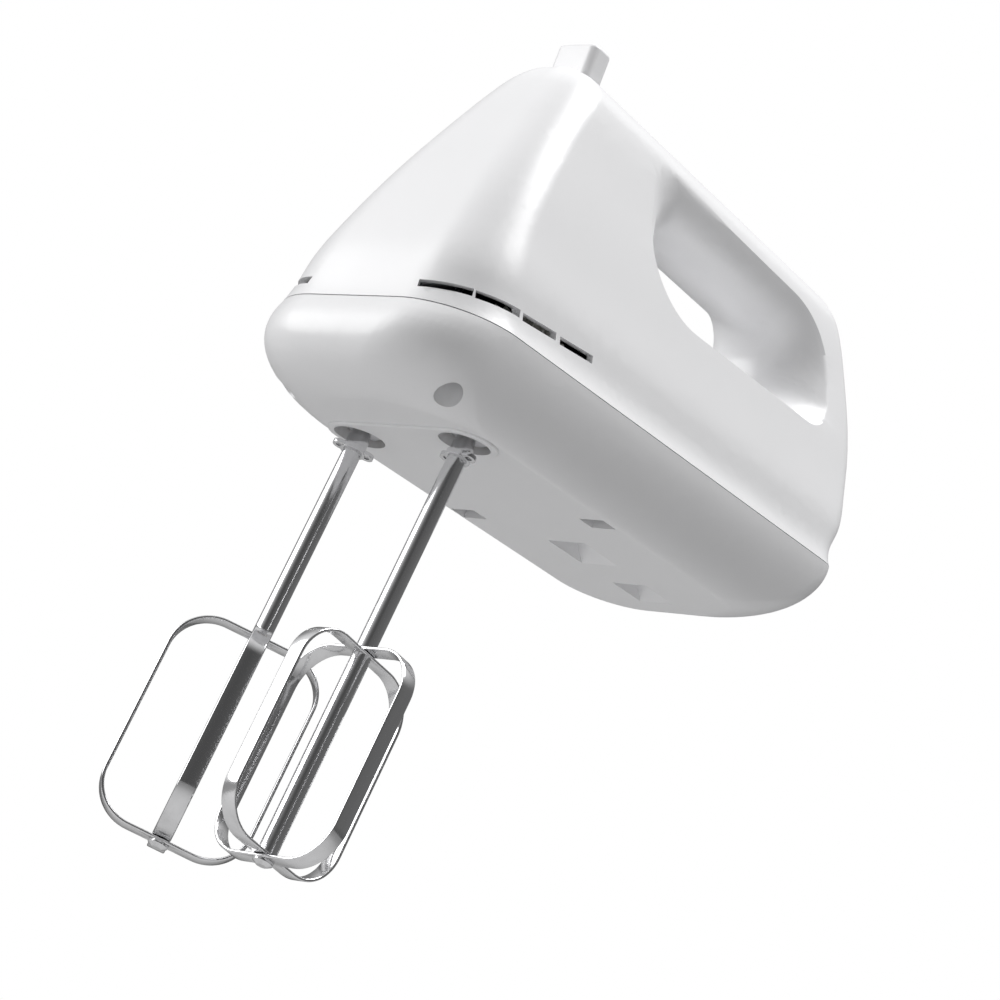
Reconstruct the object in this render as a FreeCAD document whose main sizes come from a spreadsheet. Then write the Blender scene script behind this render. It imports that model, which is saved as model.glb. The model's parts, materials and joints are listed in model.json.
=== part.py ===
"""Hand mixer, modelled as an assembly of separate pieces.

The row frame stands on the beater shafts: +Z runs up along them, +Y runs to the rear of the
mixer and +X to its left side. The origin lies midway between the two shafts, level with the
mouths of the beater sockets. The housings are drawn level in their own frame and then tilted
about X, because the shafts lean back from the square of the flat base.
All sizes are in millimetres and degrees.
"""
import FreeCAD, Part
import math
import os
import re
import Sketcher

V = FreeCAD.Vector
X_AXIS = V(1, 0, 0)
Y_AXIS = V(0, 1, 0)
Z_AXIS = V(0, 0, 1)
SIDES = (("left", 1), ("right", -1))

SIZES = {
    # housing, in its own level frame
    "housing_tilt": 9.76,
    "wall": 2.2,
    "seam_height": 25.8,
    "seam_gap": 0.3,
    "half_width": 41.9,
    "nose_reach": 40.8,
    "nose_bulge": 8.1,
    "nose_radius": 25.0,
    "nose_top_radius": 13.8,
    "rear_reach": 156.0,
    "rear_radius": 10.0,
    "rear_bulge": 10.0,
    "base_half_width": 30.5,
    "base_front": 26.5,
    "base_rear": 133.2,
    "base_rear_radius": 21.8,
    "base_nose_radius": 28.0,
    "base_fullness": 1.45,
    "side_lean": 15.2,
    "front_run": 44.0,
    "front_curve": 1.26,
    "rear_run": 4.2,
    "grip_height": 122.2,
    "grip_fall": 3.6,
    "grip_start": 39.0,
    "crown_height": 11.0,
    "crown_across": 9.0,
    "crown_front": 4.5,
    "crown_rear": 12.0,
    "crown_corner": 4.0,
    # hand opening
    "opening_front": 41.5,
    "opening_rear": 147.0,
    "opening_floor": 66.5,
    "opening_roof": 112.5,
    "opening_roof_fall": 3.0,
    "opening_low_front_radius": 28.0,
    "opening_low_rear_radius": 12.0,
    "opening_top_rear_radius": 26.0,
    "opening_top_front_radius": 10.0,
    "throat_inset_end": 17.0,
    "throat_inset_roof": 15.0,
    "throat_inset_floor": 4.0,
    "throat_radius": 10.0,
    # air vents
    "vent_height": 2.4,
    "vent_length": 15.8,
    "vent_rib": 2.0,
    "vent_start_angle": 8.5,
    "vent_border": 0.7,
    "vent_recess": 0.9,
    "vent_level": 30.0,
    "vent_rise": 4.4,
    # storage stand slots
    "stand_slot_depth": 6.5,
    # beaters and their sockets
    "beater_spacing": 41.0,
    "stem_dia": 5.7,
    "stem_top": 22.0,
    "socket_gap": 0.08,
    "mouth_radius": 7.8,
    "pad_border": 2.2,
    "pad_drop": 0.8,
    "collar_level": 5.2,
    "collar_radius": 3.9,
    "collar_height": 1.8,
    "ear_reach": 6.4,
    "ear_width": 4.6,
    "ear_thick": 1.2,
    "loop_top": 69.6,
    "loop_bottom": 136.4,
    "loop_radius": 23.0,
    "loop_width": 5.4,
    "loop_thick": 1.0,
    "loop_corner": 13.0,
    "left_beater_turn": -2.0,
    "right_beater_turn": 48.0,
    # gear train
    "axis_height": 34.0,
    "worm_radius": 6.5,
    "gear_module": 1.0,
    "gear_width": 7.0,
    "gear_backlash": 0.55,
    "spindle_radius": 6.0,
    "spindle_top": 46.0,
    "running_gap": 0.05,
    "seat_gap": 0.02,
    "bush_wall": 2.2,
    "bush_level": 6.0,
    "bush_length": 9.0,
    "frame_plate": 3.0,
    "frame_level": 42.5,
    "lug_reach": 15.0,
    "lug_thick": 4.0,
    "boss_top": 8.0,
    # motor
    "motor_shaft_dia": 5.0,
    "armature_radius": 12.5,
    "armature_start": 36.0,
    "armature_length": 24.0,
    "air_gap": 0.5,
    "stator_width": 36.0,
    "stator_height": 37.0,
    "commutator_radius": 7.5,
    "commutator_start": 66.0,
    "commutator_length": 9.0,
    "fan_radius": 14.0,
    "fan_start": 21.0,
    "fan_length": 6.0,
    "rear_bearing_start": 79.0,
    "shaft_rear": 87.0,
    "shaft_front": -20.0,
    # controls
    "knob_width": 15.5,
    "knob_length": 9.0,
    "knob_rise": 11.6,
    "knob_place": 16.5,
    "knob_corner": 2.6,
    "knob_travel": 9.0,
    "press_travel": 4.0,
    "slide_gap": 0.4,
    "plunger_level": 57.0,
    # board, cord inlet and screws
    "board_length": 34.0,
    "board_width": 40.0,
    "board_level": 12.0,
    "screw_seat": 12.0,
    "cord_hole_radius": 3.1,
    "cord_inlet_level": 62.0,
    "screw_radius": 1.9,
    "screw_pocket_radius": 3.9,
}

# Distance behind the shafts, length and width of each blind slot for a storage stand
STAND_SLOTS = ((85.5, 18.0, 14.5), (117.5, 15.0, 13.0))

doc = FreeCAD.newDocument("hand_mixer")
sheet = doc.addObject("Spreadsheet::Sheet", "Sizes")
for row, (alias, value) in enumerate(SIZES.items(), start=1):
    sheet.set(f"A{row}", alias)
    sheet.set(f"B{row}", str(value))
    sheet.setAlias(f"B{row}", alias)
doc.recompute()

parts = []


def size(alias):
    """The value that the sheet holds under this alias."""
    return float(getattr(sheet, alias))


def bound(text):
    """Turn a formula of plain aliases into one that reads the sheet."""
    return re.sub(r"\b([a-z]+_[a-z_]*[a-z]|wall)\b", r"Sizes.\1", text)


def kept(item, label):
    item.Label = label
    parts.append(item)
    return item


def new_body(label):
    return kept(doc.addObject("PartDesign::Body", label), label)


def base_plane(body, role):
    return [part for part in body.Origin.OriginFeatures if part.Role == role][0]


def new_sketch(body, plane):
    sketch = body.newObject("Sketcher::SketchObject", body.Name + "_sketch")
    sketch.AttachmentSupport = [(base_plane(body, plane), "")]
    sketch.MapMode = "FlatFace"
    return sketch


def outline(sketch, corners):
    """Close a line through corners given as pairs of formulas."""
    count = len(corners)
    start = sketch.GeometryCount
    turn = 2 * math.pi / count
    guess = [V(30 + 9 * math.cos(turn * i), 9 * math.sin(turn * i), 0) for i in range(count)]
    lines = [Part.LineSegment(guess[i], guess[(i + 1) % count]) for i in range(count)]
    sketch.addGeometry(lines)
    joins = [Sketcher.Constraint("Coincident", start + i, 2, start + (i + 1) % count, 1)
             for i in range(count)]
    sketch.addConstraint(joins)
    for i, corner in enumerate(corners):
        for kind, formula in zip(("DistanceX", "DistanceY"), corner):
            index = sketch.addConstraint(Sketcher.Constraint(kind, -1, 1, start + i, 1, 1.0))
            sketch.setExpression(f"Constraints[{index}]", bound(formula))


def revolve(body, corners):
    """Turn a half section, drawn as radius and height, about the body's own Z axis."""
    sketch = new_sketch(body, "XZ_Plane")
    outline(sketch, corners)
    turned = body.newObject("PartDesign::Revolution", body.Name + "_turned")
    turned.Profile = sketch
    turned.ReferenceAxis = (sketch, ["V_Axis"])
    turned.Angle = 360
    return turned


def pocket_through(body, sketch):
    doc.recompute()
    before = body.Shape.Volume
    cut = body.newObject("PartDesign::Pocket", body.Name + "_pocket")
    cut.Profile = sketch
    cut.Type = "ThroughAll"
    cut.Midplane = True
    doc.recompute()
    if body.Shape.Volume > before - 0.01:
        raise RuntimeError(body.Label + ": the pocket removed nothing")
    return cut


def around(body, feature, count):
    """Repeat a feature about the body's own Z axis."""
    pattern = body.newObject("PartDesign::PolarPattern", body.Name + "_pattern")
    pattern.Originals = [feature]
    axis = [part for part in body.Origin.OriginFeatures if part.Role == "Z_Axis"][0]
    pattern.Axis = (axis, [""])
    pattern.Angle = 360
    pattern.Occurrences = count
    body.Tip = pattern
    return pattern


def place(item, across="0 mm", back="0 mm", up="0 mm"):
    """Bind the place of a sub-part to the sheet."""
    for key, formula in (("x", across), ("y", back), ("z", up)):
        item.setExpression(f"Placement.Base.{key}", bound(formula))


def along_motor(item):
    """Lay a piece drawn about its own Z axis along the motor shaft."""
    item.Placement = FreeCAD.Placement(V(0, 0, 0), FreeCAD.Rotation(X_AXIS, -90))
    place(item, up="axis_height * 1 mm")


def shaped(label, shape, placement=None):
    """Keep a sub-part whose shape comes from plain solid operations."""
    item = doc.addObject("Part::Feature", label)
    item.Shape = shape
    if placement is not None:
        item.Placement = placement
    return kept(item, label)


def tube(outer, inner, length, base, axis=Z_AXIS):
    return Part.makeCylinder(outer, length, base, axis).cut(Part.makeCylinder(inner, length, base, axis))


def block(x_range, y_range, z_range):
    """A box from its lowest and highest values along each axis."""
    low = V(x_range[0], y_range[0], z_range[0])
    return Part.makeBox(x_range[1] - x_range[0], y_range[1] - y_range[0], z_range[1] - z_range[0], low)


def grouped(solids):
    return Part.makeCompound(solids)


TILT = FreeCAD.Placement(V(0, 0, 0), FreeCAD.Rotation(X_AXIS, size("housing_tilt")))
SHAFT_X = size("beater_spacing") / 2


def levelled(shape):
    """Take a shape drawn in the row frame into the housing's level frame."""
    moved = shape.copy()
    moved.Placement = TILT.inverse().multiply(moved.Placement)
    return moved


def in_row(point):
    """Take a point of the housing's level frame into the row frame."""
    return TILT.multVec(point)


# ---------------------------------------------------------------- housing outline

def rounded_wire(half_width, front, rear, front_radius, rear_radius, level):
    """A closed level outline with two nose corners and two rear corners."""
    front_radius = min(front_radius, half_width - 0.5)
    rear_radius = min(rear_radius, half_width - 0.5)
    bend = math.sqrt(0.5)

    def corner(x_side, y_centre, y_side, radius, flip):
        x_centre = x_side * (half_width - radius)
        ends = (V(x_centre + x_side * radius, y_centre, level),
                V(x_centre, y_centre + y_side * radius, level))
        if flip:
            ends = ends[::-1]
        middle = V(x_centre + x_side * radius * bend, y_centre + y_side * radius * bend, level)
        return Part.Arc(ends[0], middle, ends[1])

    arcs = (
        corner(1, front + front_radius, -1, front_radius, True),
        corner(1, rear - rear_radius, 1, rear_radius, False),
        corner(-1, rear - rear_radius, 1, rear_radius, True),
        corner(-1, front + front_radius, -1, front_radius, False),
    )
    edges = []
    for index, arc in enumerate(arcs):
        following = arcs[(index + 1) % 4]
        edges.append(arc.toShape())
        edges.append(Part.LineSegment(arc.EndPoint, following.StartPoint).toShape())
    return Part.Wire(edges)


def side_at(level):
    """Half the housing's width at a level above the seam."""
    return size("half_width") - (level - size("seam_height")) * math.tan(math.radians(size("side_lean")))


def share_at(level):
    """How far up from the seam to the top of the grip a level lies, from 0 to 1."""
    return (level - size("seam_height")) / (size("grip_height") - size("seam_height"))


def front_at(level):
    """The nose stands upright at the seam and leans back more and more towards the grip."""
    return -size("nose_reach") + size("front_run") * max(share_at(level), 0) ** size("front_curve")


def rear_at(level):
    share = share_at(level)
    return size("rear_reach") - size("rear_run") * share + size("rear_bulge") * math.sin(math.pi * share)


def nose_radius_at(level):
    narrowing = size("nose_radius") - size("nose_top_radius")
    return size("nose_top_radius") + narrowing * (1 - share_at(level)) ** 3


def grip_top_at(back):
    """Height of the grip's top face at a distance behind the shafts."""
    return size("grip_height") - (back - size("grip_start")) * math.tan(math.radians(size("grip_fall")))


def upper_section(level, crown, inset):
    """One outline of the upper housing; crown runs from 0 where the top starts to round over to 1."""
    nose = nose_radius_at(level) * (1 - crown) + size("crown_corner") * crown
    rear = size("rear_radius") * (1 - crown) + size("crown_corner") * crown
    wire = rounded_wire(
        side_at(level) - inset - (size("crown_across") - inset) * crown,
        front_at(level) + inset + (size("crown_front") - inset) * crown,
        rear_at(level) - inset - (size("crown_rear") - inset) * crown,
        nose - inset, rear - inset, 0)
    fall = FreeCAD.Rotation(X_AXIS, -size("grip_fall") * max(share_at(level), 0))
    pivot = V(0, size("grip_start"), 0)
    wire.Placement = FreeCAD.Placement(pivot + V(0, 0, level), fall, V(0, 0, 0)).multiply(
        FreeCAD.Placement(pivot * -1, FreeCAD.Rotation()))
    return wire


def upper_block(inset, start):
    """The upper housing's outer solid with its crowned top, drawn smaller by an inset."""
    shoulder = size("grip_height") - size("crown_height")
    wires = [upper_section(start + (shoulder - start) * step / 6, 0, inset) for step in range(7)]
    rounding = size("crown_height") - inset
    for degrees in (15, 30, 45, 60, 75, 90):
        angle = math.radians(degrees)
        wires.append(upper_section(shoulder + rounding * math.sin(angle), 1 - math.cos(angle), inset))
    return Part.makeLoft(wires, True, False)


def opening_wire(share, growth):
    """One section of the hand opening, on a plane turned part of the way to the side panel.

    Its edge follows a quarter ellipse that is cut short at the side panel, which leaves a crisp rim.
    """
    ellipse = 1.06
    at_rim = math.sqrt(1 - 1 / ellipse ** 2)
    keep = (math.sqrt(1 - (share / ellipse) ** 2) - at_rim) / (1 - at_rim)
    front = size("opening_front") + size("throat_inset_end") * keep - growth
    rear = size("opening_rear") - size("throat_inset_end") * keep + growth
    floor = size("opening_floor") + size("throat_inset_floor") * keep - growth
    roof = size("opening_roof") - size("throat_inset_roof") * keep + growth
    rim_radii = [size(f"opening_{name}_radius")
                 for name in ("low_front", "low_rear", "top_rear", "top_front")]
    fall = (rear - front) * math.tan(math.radians(size("opening_roof_fall")))
    corners = [(front, floor), (rear, floor), (rear, roof - fall), (front, roof)]
    points = []
    for index, (y, z) in enumerate(corners):
        radius = rim_radii[index] * (1 - keep) + size("throat_radius") * keep + growth
        last = corners[index - 1]
        following = corners[(index + 1) % 4]
        back = V(last[0] - y, last[1] - z, 0).normalize()
        ahead = V(following[0] - y, following[1] - z, 0).normalize()
        half = back.getAngle(ahead) / 2
        reach = radius / math.tan(half)
        middle = (back + ahead).normalize() * (radius / math.sin(half) - radius)
        points.append([V(y, z, 0) + back * reach, V(y, z, 0) + middle, V(y, z, 0) + ahead * reach])

    def on_plane(point):
        return V(share * side_at(point.y), point.x, point.y)

    edges = []
    for index, trio in enumerate(points):
        following = points[(index + 1) % 4]
        edges.append(bent_edge([on_plane(point) for point in trio]))
        edges.append(Part.LineSegment(on_plane(trio[2]), on_plane(following[0])).toShape())
    return Part.Wire(edges)


def bent_edge(trio):
    """A smooth corner through three points that lie on one plane."""
    return Part.Arc(*trio).toShape()


def opening_tool(growth):
    """The funnel-shaped space that the hand goes through, both halves joined at the middle."""
    shares = (0.0, 0.35, 0.65, 0.85, 0.95, 1.0, 1.04)
    wires = [opening_wire(share, growth) for share in shares]
    left = Part.makeLoft(wires, True, False)
    return left.fuse(left.mirror(V(0, 0, 0), X_AXIS))


def vent_blocks(depth, outset, border):
    """The row of vent slots along the nose corner and side, on the left side of the housing.

    A border widens each slot, and its outer ends are round, which makes the recess around the row.
    """
    radius = nose_radius_at(size("vent_level"))
    half_width = side_at(size("vent_level"))
    corner_x = half_width - radius
    corner_y = front_at(size("vent_level")) + radius
    long = size("vent_length")
    rib = size("vent_rib")
    high = size("vent_height") + 2 * border
    start = radius * math.radians(size("vent_start_angle"))
    corner_length = radius * math.pi / 2
    blocks = []
    for index in range(4):
        travel = start + (index + 0.5) * (long + rib)
        if travel < corner_length:
            angle = travel / radius - math.pi / 2
            point = V(corner_x + radius * math.cos(angle), corner_y + radius * math.sin(angle), 0)
            facing = math.degrees(angle)
        else:
            point = V(half_width, corner_y + travel - corner_length, 0)
            facing = 0.0
        reach = long / 2 + (rib / 2 + 0.1 if border else 0)
        slot = block((-depth, outset), (-reach, reach), (-high / 2, high / 2))
        for end, side in ((0, -1), (3, 1)):
            if index == end and border:
                tip = Part.makeCylinder(high / 2, depth + outset, V(-depth, side * reach, 0), X_AXIS)
                slot = slot.fuse(tip)
        rise = size("vent_rise") * travel / (start + 4 * (long + rib))
        slot.Placement = FreeCAD.Placement(
            V(point.x, point.y, size("vent_level") + size("vent_height") / 2 + rise),
            FreeCAD.Rotation(Z_AXIS, facing).multiply(FreeCAD.Rotation(X_AXIS, 4.5)))
        blocks.append(slot)
    return blocks


def both_sides(solids):
    return solids + [solid.mirror(V(0, 0, 0), X_AXIS) for solid in solids]


def make_upper_housing():
    wall = size("wall")
    seam = size("seam_height")
    outer = upper_block(0, seam + size("seam_gap"))
    inner = upper_block(wall, seam + size("seam_gap") / 2)
    cavity = inner.cut(opening_tool(wall))
    shell = outer.cut(cavity).cut(opening_tool(0))
    recess = both_sides(vent_blocks(size("vent_recess"), 4, size("vent_border")))
    slots = both_sides(vent_blocks(wall + 3, 4, 0))
    for solid in recess + slots:
        shell = shell.cut(solid)
    shell = shell.cut(knob_slot())
    rear = rear_at(size("cord_inlet_level"))
    inlet = Part.makeCylinder(cord_seat_radius(), 20, V(0, rear - 10, size("cord_inlet_level")), Y_AXIS)
    return shell.cut(inlet)


def cord_seat_radius():
    return size("cord_hole_radius") + 2.4


def knob_frame():
    """The place and direction of the knob's slide, on the grip's top face."""
    turn = FreeCAD.Rotation(X_AXIS, -size("grip_fall"))
    return FreeCAD.Placement(V(0, size("knob_place"), grip_top_at(size("knob_place"))), turn)


def on_grip(shape):
    """Set a shape drawn about the knob's own place onto the grip."""
    moved = shape.copy()
    moved.Placement = knob_frame().multiply(moved.Placement)
    return moved


def knob_slot():
    """The slot in the grip's top that the knob runs in."""
    across = size("knob_width") / 2
    along = size("knob_length") / 2
    gap = size("slide_gap")
    cut = block((-across - gap, across + gap), (-along - gap, along + size("knob_travel") + gap), (-6, 6))
    return on_grip(cut)


# ---------------------------------------------------------------- lower housing

def lower_solid(inset):
    """The tub below the seam: full at the seam, bulging at the nose and rounded to a flat base."""
    seam = size("seam_height")
    wires = []
    for degrees in (0, 18, 36, 54, 72, 90):
        angle = math.radians(degrees)
        level = (seam - inset) * (1 - math.sin(angle)) + inset
        spread = max(math.cos(angle), 0) ** size("base_fullness")
        half = size("base_half_width") + (size("half_width") - size("base_half_width")) * spread
        front = size("base_front") + (size("nose_reach") - size("base_front")) * spread
        front += size("nose_bulge") * max(math.sin(2 * angle), 0)
        rear = size("base_rear") + (size("rear_reach") - size("base_rear")) * spread
        nose = size("base_nose_radius") + (size("nose_radius") - size("base_nose_radius")) * spread
        tail = size("base_rear_radius") + (size("rear_radius") - size("base_rear_radius")) * spread
        wires.append(rounded_wire(
            half - inset, -front + inset, rear - inset, nose - inset, tail - inset, level))
    return Part.makeLoft(wires, True, False)


def base_at(back):
    """Height in the row frame of the base's outer face at a distance behind the shafts."""
    return back * math.tan(math.radians(size("housing_tilt")))


def make_lower_housing():
    wall = size("wall")
    outer = lower_solid(0)
    inner = lower_solid(wall)
    seam_cap = Part.makeBox(200, 400, 1, V(-100, -100, size("seam_height") - 0.001))
    shell = outer.cut(inner).cut(seam_cap)
    inside = [levelled(solid) for solid in socket_towers() + motor_ribs()]
    floor_up = outer.common(Part.makeBox(200, 400, size("seam_height"), V(-100, -100, 0.6)))
    inside = [solid.common(floor_up) for solid in inside]
    inside += board_posts() + screw_tubes(outer) + stand_boxes()
    shell = shell.fuse(inside).removeSplitter()
    pad_solid = socket_pad().cut(inner)
    shell = shell.fuse(pad_solid).removeSplitter()
    for name, sign in SIDES:
        bore = Part.makeCylinder(size("mouth_radius"), 14 + size("bush_level"), V(sign * SHAFT_X, 0, -14))
        seat = Part.makeCylinder(bush_outer(), 60, V(sign * SHAFT_X, 0, size("bush_level")))
        shell = shell.cut([levelled(bore), levelled(seat)])
    shell = shell.cut(stand_pockets() + screw_wells())
    return shell


def bush_outer():
    return size("spindle_radius") + size("running_gap") + size("bush_wall") + size("seat_gap")


def socket_towers():
    """Tubes that carry the two spindle bushes, upright in the row frame."""
    top = size("bush_level") + size("bush_length")
    return [Part.makeCylinder(bush_outer() + 2.0, top + 8, V(sign * SHAFT_X, 0, -8)) for name, sign in SIDES]


def socket_pad():
    """The raised track-shaped pad around both socket mouths, in line with the flat base."""
    reach = size("mouth_radius") + size("pad_border")
    low = -size("pad_drop")
    ends = [Part.makeCylinder(reach, 10, V(sign * SHAFT_X, 0, low)) for name, sign in SIDES]
    middle = block((-SHAFT_X, SHAFT_X), (-reach, reach), (low, low + 10))
    track = middle.fuse(ends).removeSplitter()
    rim = [edge for edge in track.Edges if edge.BoundBox.ZMax < low + 0.01]
    return track.makeFillet(size("pad_drop") * 0.75, rim)


def motor_ribs():
    """Cradle ribs, gear frame bosses and the rear bracket's rib, drawn in the row frame."""
    start = size("armature_start")
    end = start + size("armature_length")
    bottom = size("axis_height") - size("stator_height") / 2
    lug = size("lug_reach")
    ribs = [block((-16, 16), (start + 2, start + 5), (base_at(start) + 0.6, bottom))]
    ribs.append(block((-16, 16), (end - 5, end - 2), (base_at(end) - 1.5, bottom)))
    for back in (-lug, lug):
        ribs.append(block((-8, 8), (back - 4, back + 4), (base_at(back) - 0.5, size("boss_top"))))
    back = size("rear_bearing_start") + 2
    ribs.append(block((-12, 12), (back - 2, back + 2), (base_at(back) - 1.0, bracket_foot())))
    return ribs


def bracket_foot():
    """Level of the rear bracket's foot, just above the box around the front stand slot."""
    slot_box = (size("stand_slot_depth") + 1.5) / math.cos(math.radians(size("housing_tilt")))
    return base_at(size("rear_bearing_start") + 4) + slot_box + 0.3


def board_posts():
    """Four posts that carry the circuit board, in the level frame."""
    posts = []
    for x in (-1, 1):
        for y in (-1, 1):
            across = x * (size("board_width") / 2 - 4)
            back = board_centre() + y * (size("board_length") / 2 - 4)
            posts.append(Part.makeCylinder(2.5, size("board_level") - 1.0, V(across, back, 1.0)))
    return posts


def board_centre():
    return size("base_rear") - size("board_length") / 2 - 8


def screw_places():
    """Where the four housing screws stand: two at the nose corners and two near the rear."""
    nose_x = size("half_width") - 10.1
    nose_y = 16.6 - size("nose_reach")
    return [(nose_x, nose_y), (-nose_x, nose_y), (25.4, 59.0), (-25.4, 59.0)]


def screw_tubes(outer):
    """Columns around the screw wells, cut to the tub's outer shape."""
    tubes = []
    for x, y in screw_places():
        column = Part.makeCylinder(size("screw_pocket_radius") + 2.6, size("seam_height"), V(x, y, 0))
        tubes.append(column.common(outer))
    return tubes


def screw_wells():
    wells = []
    for x, y in screw_places():
        if y < 0:
            mouth = Part.makeCylinder(size("screw_pocket_radius"), size("screw_seat") + 10, V(x, y, -10))
        else:
            mouth = block((x - 4.6, x + 4.6), (y - 3.4, y + 3.4), (-10, size("screw_seat")))
        wells.append(mouth)
        wells.append(Part.makeCylinder(size("screw_radius") + 0.2, 40, V(x, y, 0)))
    return wells


def stand_pockets():
    """Blind slots in the flat base for a storage stand, each with a ramp at its rear end."""
    pockets = []
    for back, long, wide in STAND_SLOTS:
        ramp = long * 0.4
        depth = size("stand_slot_depth")
        front = back - long / 2
        rear = back + long / 2
        side = Part.makePolygon([V(-wide / 2, front, -1), V(-wide / 2, front, depth),
                                 V(-wide / 2, rear - ramp, depth), V(-wide / 2, rear, 0),
                                 V(-wide / 2, rear, -1), V(-wide / 2, front, -1)])
        pockets.append(Part.Face(side).extrude(V(wide, 0, 0)))
    return pockets


def stand_boxes():
    """Closed boxes inside the tub around the blind slots."""
    boxes = []
    for back, long, wide in STAND_SLOTS:
        half = wide / 2 + 1.5
        boxes.append(block((-half, half), (back - long / 2 - 1.5, back + long / 2),
                           (1.0, size("stand_slot_depth") + 1.5)))
    return boxes


# ---------------------------------------------------------------- gear train

def wheel_teeth():
    pitch_radius = SHAFT_X - size("worm_radius")
    return int(round(2 * pitch_radius / size("gear_module")))


def wheel_pitch_radius():
    return SHAFT_X - size("worm_radius")


def tooth_pitch():
    return 2 * math.pi * wheel_pitch_radius() / wheel_teeth()


def make_wheel(turn):
    """A helical worm wheel about its own Z axis, centred on the motor's axis height."""
    module = size("gear_module")
    pitch_radius = wheel_pitch_radius()
    outer = pitch_radius + 0.9 * module
    root = pitch_radius - 1.25 * module
    teeth = wheel_teeth()
    width = size("gear_width")
    lead_angle = math.atan(tooth_pitch() / (2 * math.pi * size("worm_radius")))
    twist = math.degrees(width * math.tan(lead_angle) / pitch_radius)
    half_tooth = (tooth_pitch() - size("gear_backlash")) / 4 / pitch_radius
    slope = 0.36 * module / pitch_radius

    def section(level, angle):
        corners = []
        for index in range(teeth):
            centre = math.radians(turn + angle) + 2 * math.pi * index / teeth
            for reach, offset in ((root, -half_tooth - slope), (outer, -half_tooth + slope),
                                  (outer, half_tooth - slope), (root, half_tooth + slope)):
                corners.append(V(reach * math.cos(centre + offset), reach * math.sin(centre + offset), level))
        return Part.makePolygon(corners + corners[:1])

    wires = [section(-width / 2, -twist / 2), section(0, 0), section(width / 2, twist / 2)]
    wheel = Part.makeLoft(wires, True, True)
    bore = Part.makeCylinder(wheel_bore(), width + 2, V(0, 0, -width / 2 - 1))
    return wheel.cut(bore)


def wheel_bore():
    return size("spindle_radius") - 1.6


def make_armature_shaft():
    """The motor shaft with the worm thread standing on its thicker front end."""
    radius = size("motor_shaft_dia") / 2
    root = size("worm_radius") - 1.25 * size("gear_module")
    crest = size("worm_radius") + 0.9 * size("gear_module")
    lead = tooth_pitch()
    half_tooth = (lead - size("gear_backlash")) / 4
    slope = 0.36 * size("gear_module")
    reach = size("lug_reach") - size("lug_thick") / 2 - 1.0
    length = size("shaft_rear") - size("shaft_front")
    shaft = Part.makeCylinder(radius, length, V(0, 0, size("shaft_front")))
    core = Part.makeCylinder(root, 2 * reach, V(0, 0, -reach))
    inset = 0.3
    section = Part.makePolygon([
        V(root - inset, 0, -half_tooth - slope - 0.15), V(crest, 0, -half_tooth + slope),
        V(crest, 0, half_tooth - slope), V(root - inset, 0, half_tooth + slope + 0.15),
        V(root - inset, 0, -half_tooth - slope - 0.15)])
    turns = int((2 * reach - 3) / lead)
    helix = Part.makeHelix(lead, turns * lead, root)
    sweep = Part.BRepOffsetAPI.MakePipeShell(Part.Wire(helix.Edges))
    sweep.setFrenetMode(True)
    sweep.add(section)
    sweep.build()
    sweep.makeSolid()
    thread = sweep.shape()
    thread.translate(V(0, 0, -(turns // 2) * lead))
    return shaft.fuse([core, thread])


def make_gear_frame():
    """A plate above the wheels with two lugs that stand on the lower housing's bosses."""
    level = size("frame_level")
    plate = block((-SHAFT_X - 9, SHAFT_X + 9), (-size("lug_reach") - 3, size("lug_reach") + 3),
                  (level, level + size("frame_plate")))
    half = size("lug_thick") / 2
    lugs = []
    for back in (-size("lug_reach"), size("lug_reach")):
        lugs.append(block((-7, 7), (back - half, back + half), (size("boss_top"), level)))
        lugs.append(block((-7.5, 7.5), (back - 3.5, back + 3.5), (size("boss_top"), size("boss_top") + 3)))
    frame = plate.fuse(lugs).removeSplitter()
    seats = [Part.makeCylinder(shaft_bush_outer(), 60, V(0, -30, size("axis_height")), Y_AXIS)]
    for name, sign in SIDES:
        seats.append(Part.makeCylinder(top_bush_outer(), 20, V(sign * SHAFT_X, 0, level - 8)))
    return frame.cut(seats)


def shaft_bush_outer():
    return size("motor_shaft_dia") / 2 + size("running_gap") + 1.8 + size("seat_gap")


def journal_radius():
    return wheel_bore() - 1.0


def top_bush_outer():
    return journal_radius() + size("running_gap") + 1.8 + size("seat_gap")


def make_spindle_shape():
    """A hollow spindle: a socket for the stem below, a wheel seat and a journal above."""
    gear_low = size("axis_height") - size("gear_width") / 2
    gear_high = size("axis_height") + size("gear_width") / 2
    socket = size("stem_dia") / 2 + size("socket_gap")
    steps = ((size("spindle_radius"), 2.0, gear_low), (wheel_bore(), gear_low, gear_high),
             (journal_radius(), gear_high, size("spindle_top")))
    solids = [Part.makeCylinder(radius, high - low, V(0, 0, low)) for radius, low, high in steps]
    spindle = solids[0].fuse(solids[1:]).removeSplitter()
    stem_room = Part.makeCylinder(socket, size("stem_top") - 2.0 + 0.4, V(0, 0, 2.0))
    pin_room = Part.makeCylinder(pin_radius() + 0.4, 60, V(0, 0, 10))
    return spindle.cut([stem_room, pin_room])


def pin_radius():
    return 1.3


# ---------------------------------------------------------------- beaters

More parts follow.
